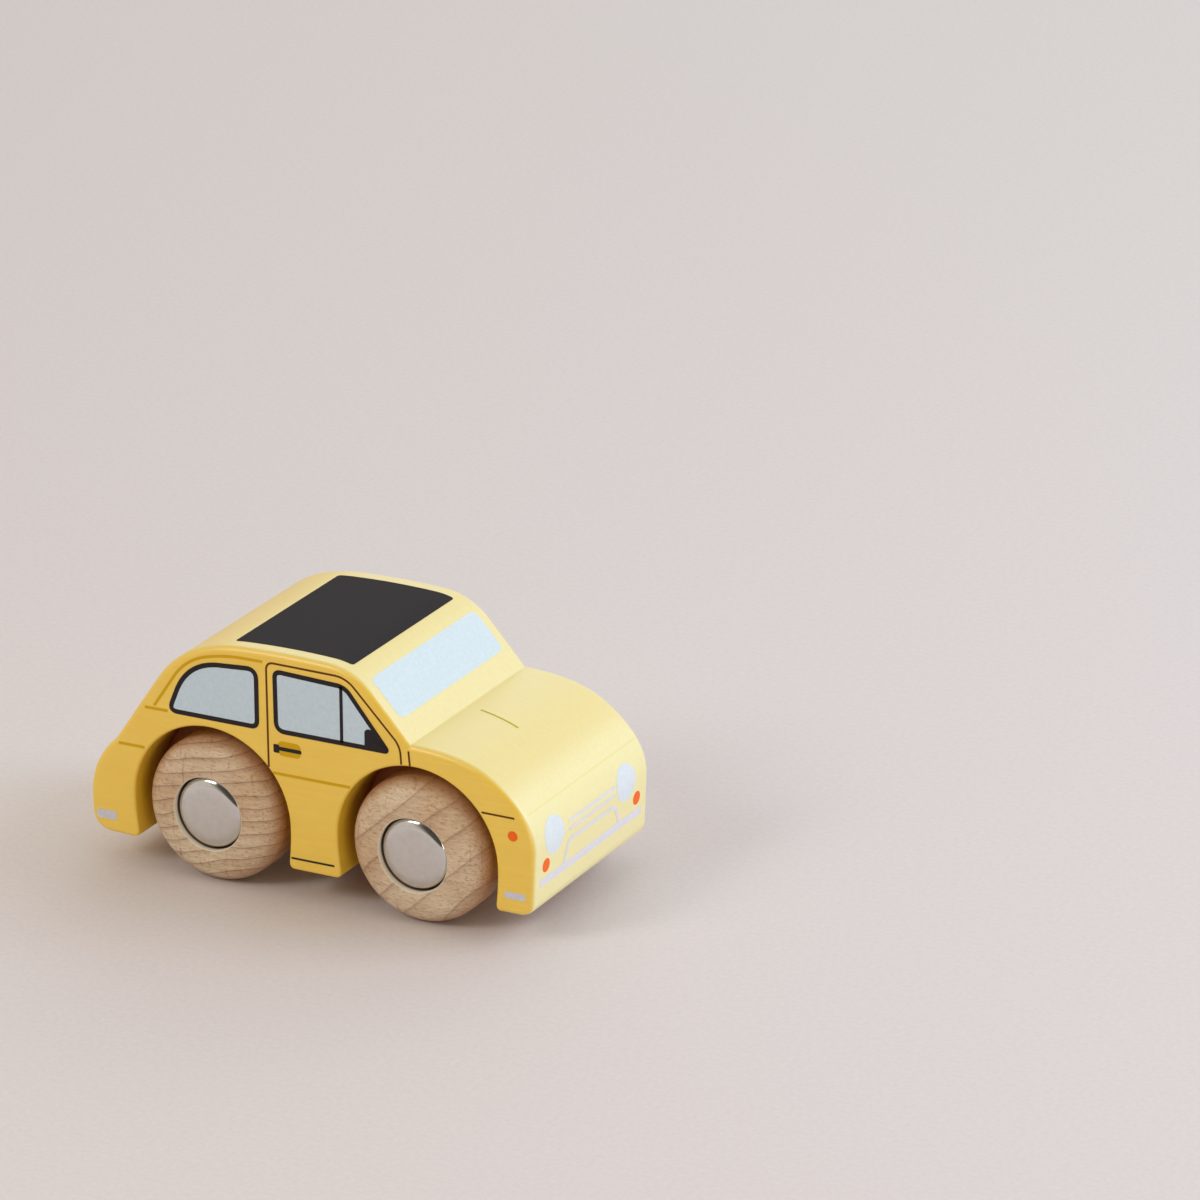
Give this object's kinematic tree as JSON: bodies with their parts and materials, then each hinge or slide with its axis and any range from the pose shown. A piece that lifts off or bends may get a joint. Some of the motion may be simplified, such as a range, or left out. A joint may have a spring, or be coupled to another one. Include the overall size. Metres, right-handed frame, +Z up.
{
  "type": "wooden toy car",
  "caption": "Small wooden push-along toy car: a painted solid wood body on two steel axles, with free-turning turned wood wheels under plated push-on caps.",
  "frame": {"origin": "on the floor, under the middle of the car's overall length and width", "axes": "+X towards the bonnet, +Y towards the car's left side, +Z up"},
  "size_m": [0.0996, 0.049, 0.0508],
  "materials": {
    "body_paint": "satin yellow paint on wood",
    "wheel_wood": "turned bare beech, lightly oiled",
    "cap_plating": "bright plated steel pressing",
    "axle_steel": "drawn steel rod",
    "spring_steel": "oiled spring steel",
    "liner_nylon": "natural white nylon",
    "print_black": "matte black printed ink",
    "print_window": "pale blue printed ink",
    "print_mustard": "mustard printed ink",
    "print_brown": "dark brown printed ink",
    "print_orange": "orange printed ink",
    "print_silver": "pale lilac-grey printed ink"
  },
  "bodies": {
    "car_body": {"body_block": "body_paint", "front_axle_liner": "liner_nylon", "rear_axle_liner": "liner_nylon"},
    "front_axle_set": {"front_axle": "axle_steel", "front_left_hub_cap": "cap_plating", "front_right_hub_cap": "cap_plating", "front_left_lock_disc": "spring_steel", "front_right_lock_disc": "spring_steel"},
    "rear_axle_set": {"rear_axle": "axle_steel", "rear_left_hub_cap": "cap_plating", "rear_right_hub_cap": "cap_plating", "rear_left_lock_disc": "spring_steel", "rear_right_lock_disc": "spring_steel"},
    "wheel_front_left": {"front_left_wheel": "wheel_wood"},
    "wheel_front_right": {"front_right_wheel": "wheel_wood"},
    "wheel_rear_left": {"rear_left_wheel": "wheel_wood"},
    "wheel_rear_right": {"rear_right_wheel": "wheel_wood"},
    "washer_front_left": {"front_left_washer": "liner_nylon"},
    "washer_front_right": {"front_right_washer": "liner_nylon"},
    "washer_rear_left": {"rear_left_washer": "liner_nylon"},
    "washer_rear_right": {"rear_right_washer": "liner_nylon"}
  },
  "joints": [
    {"name": "front_axle_turn", "type": "hinge", "parent": "car_body", "child": "front_axle_set", "pos_m": [0.0239, 0, 0.01495], "axis": [0, 1, 0], "continuous": true},
    {"name": "rear_axle_turn", "type": "hinge", "parent": "car_body", "child": "rear_axle_set", "pos_m": [-0.0219, 0, 0.01495], "axis": [0, 1, 0], "continuous": true},
    {"name": "front_left_wheel_turn", "type": "hinge", "parent": "front_axle_set", "child": "wheel_front_left", "pos_m": [0.0239, 0.0185, 0.01495], "axis": [0, 1, 0], "continuous": true},
    {"name": "front_right_wheel_turn", "type": "hinge", "parent": "front_axle_set", "child": "wheel_front_right", "pos_m": [0.0239, -0.0185, 0.01495], "axis": [0, 1, 0], "continuous": true},
    {"name": "rear_left_wheel_turn", "type": "hinge", "parent": "rear_axle_set", "child": "wheel_rear_left", "pos_m": [-0.0219, 0.0185, 0.01495], "axis": [0, 1, 0], "continuous": true},
    {"name": "rear_right_wheel_turn", "type": "hinge", "parent": "rear_axle_set", "child": "wheel_rear_right", "pos_m": [-0.0219, -0.0185, 0.01495], "axis": [0, 1, 0], "continuous": true},
    {"name": "front_left_washer_turn", "type": "hinge", "parent": "front_axle_set", "child": "washer_front_left", "pos_m": [0.0239, 0.0119, 0.01495], "axis": [0, 1, 0], "continuous": true},
    {"name": "front_right_washer_turn", "type": "hinge", "parent": "front_axle_set", "child": "washer_front_right", "pos_m": [0.0239, -0.0119, 0.01495], "axis": [0, 1, 0], "continuous": true},
    {"name": "rear_left_washer_turn", "type": "hinge", "parent": "rear_axle_set", "child": "washer_rear_left", "pos_m": [-0.0219, 0.0119, 0.01495], "axis": [0, 1, 0], "continuous": true},
    {"name": "rear_right_washer_turn", "type": "hinge", "parent": "rear_axle_set", "child": "washer_rear_right", "pos_m": [-0.0219, -0.0119, 0.01495], "axis": [0, 1, 0], "continuous": true}
  ]
}
